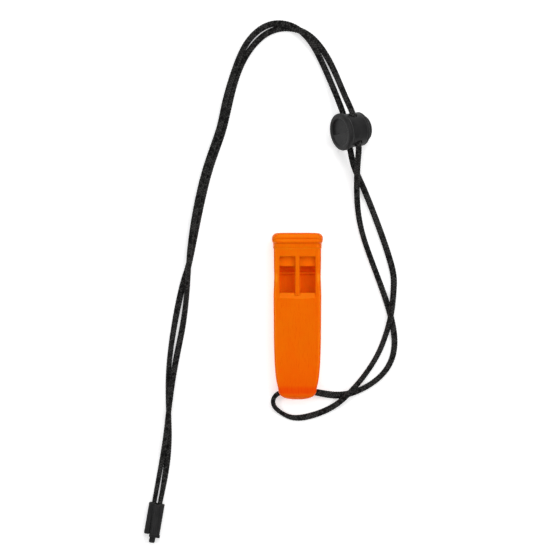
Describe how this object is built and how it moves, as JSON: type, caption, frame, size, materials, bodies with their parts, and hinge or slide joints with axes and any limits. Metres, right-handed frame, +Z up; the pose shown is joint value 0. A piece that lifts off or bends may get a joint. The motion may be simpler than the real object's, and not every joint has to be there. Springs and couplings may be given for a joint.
{
  "type": "safety whistle on a neck cord",
  "caption": "Flat orange two-note safety whistle with twin windows, on a doubled black braided neck cord with a push-button cord lock and a flat cord-end clip.",
  "frame": {"origin": "under the middle of the whistle, on the surface it lies on", "axes": "+Y along the whistle towards its mouthpiece, +Z up from the surface through the windowed face, +X to the right of someone looking down with the mouthpiece away from them"},
  "size_m": [0.1066, 0.22, 0.0188],
  "materials": {
    "orange_plastic": "satin moulded plastic, slightly translucent",
    "black_braid": "fine round braid",
    "black_plastic": "fine satin mould texture",
    "spring_steel": "drawn wire"
  },
  "bodies": {
    "lanyard": {"lanyard_cord": "black_braid", "cord_end_sleeve": "black_plastic", "cord_end_wedge": "black_plastic"},
    "whistle": {"whistle_body": "orange_plastic", "mouthpiece": "orange_plastic"},
    "cord_lock": {"cord_lock_housing": "black_plastic", "cord_lock_spring": "spring_steel"},
    "lock_button": {"cord_lock_plunger": "black_plastic"}
  },
  "joints": [
    {"name": "whistle_swing", "type": "hinge", "parent": "lanyard", "child": "whistle", "pos_m": [0, -0.0318, 0.0044], "axis": [1, 0, 0], "range_deg": [0, 150]},
    {"name": "lock_slide", "type": "slide", "parent": "lanyard", "child": "cord_lock", "axis": [0.1908, -0.9816, 0], "range_m": [-0.001, 0.001]},
    {"name": "button_press", "type": "slide", "parent": "cord_lock", "child": "lock_button", "axis": [-0.8325, -0.1618, 0.5299], "range_m": [0, 0.0016], "stiffness_N_per_m": 600, "springref_m": -0.004, "deforming": ["cord_lock_spring"]}
  ]
}
